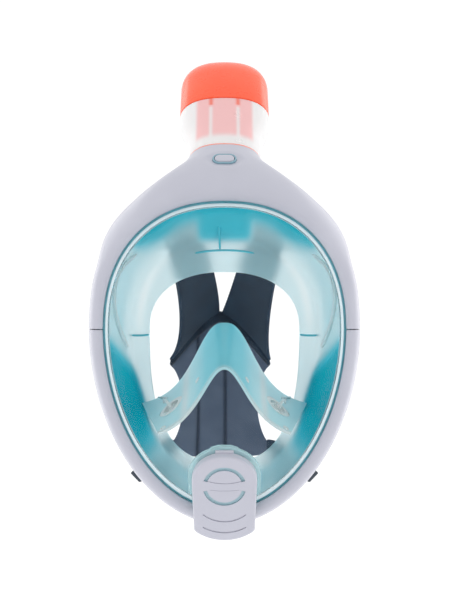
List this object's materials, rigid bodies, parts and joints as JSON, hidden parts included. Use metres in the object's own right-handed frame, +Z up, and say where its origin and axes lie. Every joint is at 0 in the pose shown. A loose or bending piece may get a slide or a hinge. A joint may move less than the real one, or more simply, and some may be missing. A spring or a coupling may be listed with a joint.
{
  "type": "full-face snorkel mask",
  "caption": "Full-face snorkel mask with a domed clear lens, silicone skirt, nose pocket, chin purge valve, plug-in dry-top snorkel and a padded head harness.",
  "frame": {"origin": "on the face seal's plane, in the middle, at the level where the lens is widest", "axes": "+X to the viewer's right, +Y back towards the wearer's head, +Z up"},
  "size_m": [0.183, 0.2308, 0.3315],
  "materials": {
    "frame_plastic": "satin pale lavender-white moulding",
    "clear_lens": "clear polycarbonate, polished",
    "skirt_silicone": "translucent turquoise silicone",
    "clear_plastic": "clear moulded plastic",
    "frosted_tube": "frosted clear plastic",
    "orange_plastic": "glossy orange moulding",
    "gasket_rubber": "orange seal",
    "bezel_plastic": "pale blue-grey moulding",
    "float_foam": "closed-cell float",
    "strap_fabric": "dark navy stretch webbing",
    "pad_fabric": "slate padded fabric",
    "hem_fabric": "dark bound hem",
    "clasp_plastic": "dark moulded clasp",
    "steel": "stainless"
  },
  "bodies": {
    "mask": {"upper_frame": "frame_plastic", "lower_frame": "frame_plastic", "retainer_ring": "frame_plastic", "frame_joiner_left": "frame_plastic", "frame_joiner_right": "frame_plastic", "frame_screws": "steel", "lens": "clear_lens", "face_skirt": "skirt_silicone", "nose_pocket": "skirt_silicone", "inhale_seat_left": "clear_plastic", "inhale_seat_right": "clear_plastic", "chin_valve_seat": "clear_plastic", "chin_cover": "frame_plastic", "button_bezel": "bezel_plastic", "button_spring": "steel", "upper_clasp_left": "clasp_plastic", "upper_clasp_right": "clasp_plastic", "lower_clasp_left": "clasp_plastic", "lower_clasp_right": "clasp_plastic", "upper_strap_left": "strap_fabric", "upper_strap_right": "strap_fabric", "lower_strap_left": "strap_fabric", "lower_strap_right": "strap_fabric", "pad_hem": "hem_fabric", "back_pad": "pad_fabric"},
    "snorkel": {"snorkel_tube": "frosted_tube", "tube_gasket": "gasket_rubber", "channel_walls": "frosted_tube", "valve_cage": "orange_plastic", "snorkel_cap": "orange_plastic"},
    "float": {"float": "float_foam", "float_seal": "skirt_silicone"},
    "button": {"release_button": "frame_plastic"},
    "inhale_flap_left": {"inhale_valve_left": "skirt_silicone"},
    "inhale_flap_right": {"inhale_valve_right": "skirt_silicone"},
    "chin_flap": {"chin_valve": "skirt_silicone"}
  },
  "joints": [
    {"name": "snorkel_pull", "type": "slide", "parent": "mask", "child": "snorkel", "axis": [0, 0.766, 0.6428], "range_m": [0, 0.02]},
    {"name": "float_rise", "type": "slide", "parent": "snorkel", "child": "float", "axis": [0, 0.766, 0.6428], "range_m": [0, 0.008]},
    {"name": "button_press", "type": "slide", "parent": "mask", "child": "button", "axis": [0, 0.6428, -0.766], "range_m": [0, 0.002], "stiffness_N_per_m": 600, "deforming": ["button_spring"]},
    {"name": "inhale_left_lift", "type": "slide", "parent": "mask", "child": "inhale_flap_left", "axis": [0.635, 0.2273, -0.7383], "range_m": [0, 0.0012], "stiffness_N_per_m": 50},
    {"name": "inhale_right_lift", "type": "slide", "parent": "mask", "child": "inhale_flap_right", "axis": [-0.635, 0.2273, -0.7383], "range_m": [0, 0.0012], "stiffness_N_per_m": 50},
    {"name": "chin_lift", "type": "slide", "parent": "mask", "child": "chin_flap", "axis": [0, -0.9272, -0.3746], "range_m": [0, 0.0015], "stiffness_N_per_m": 50}
  ]
}
